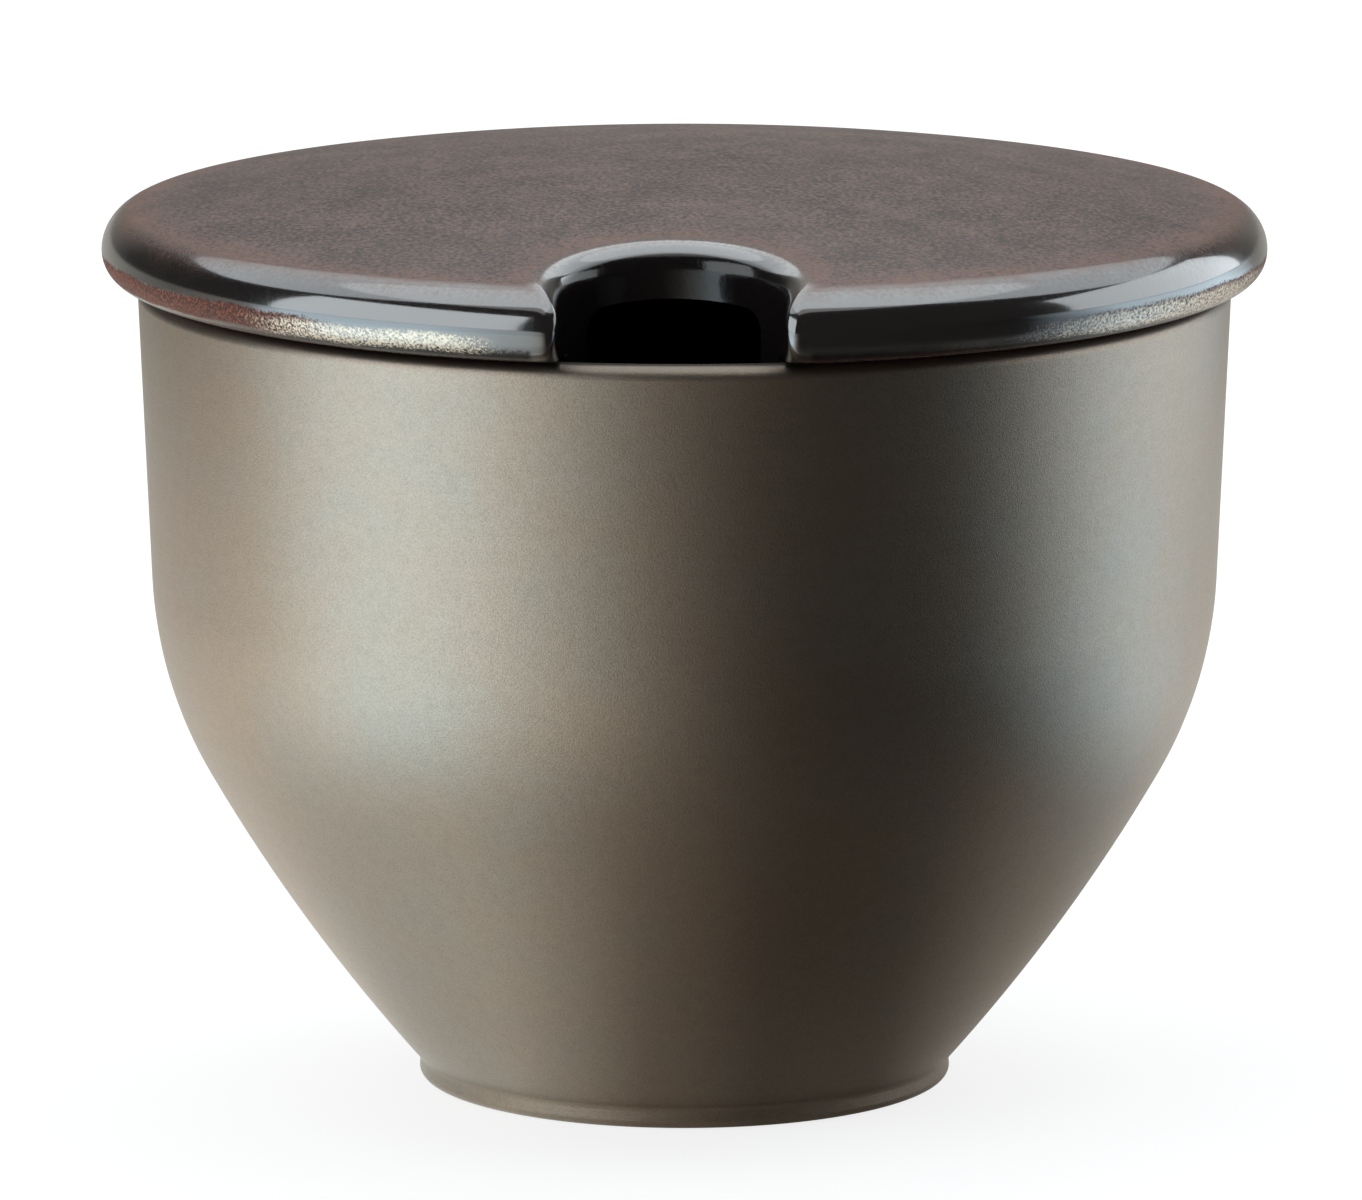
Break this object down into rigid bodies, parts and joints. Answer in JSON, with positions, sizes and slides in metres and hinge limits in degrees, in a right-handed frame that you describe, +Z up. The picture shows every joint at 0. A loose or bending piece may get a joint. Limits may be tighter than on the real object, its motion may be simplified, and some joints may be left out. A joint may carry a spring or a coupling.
{
  "type": "sugar bowl with lid",
  "caption": "Round ceramic sugar bowl with a tapering flank and low foot ring, and a shallow domed lift-off lid with a notch for a spoon handle.",
  "frame": {"origin": "centre of the foot ring on the table", "axes": "+Z up along the bowl's axis, -Y through the middle of the spoon notch, +X to the right seen from the notch"},
  "size_m": [0.1, 0.0988, 0.0803],
  "materials": {
    "bowl_glaze": "satin bronze-brown glaze with fine grain",
    "lid_glaze": "glossy reactive brown glaze, rust mottling, near black at the edges"
  },
  "bodies": {
    "bowl": {"bowl": "bowl_glaze"},
    "lid": {"lid": "lid_glaze"}
  },
  "joints": [
    {"name": "lid_lift", "type": "slide", "parent": "bowl", "child": "lid", "axis": [0, 0, 1], "range_m": [0, 0.06]}
  ]
}
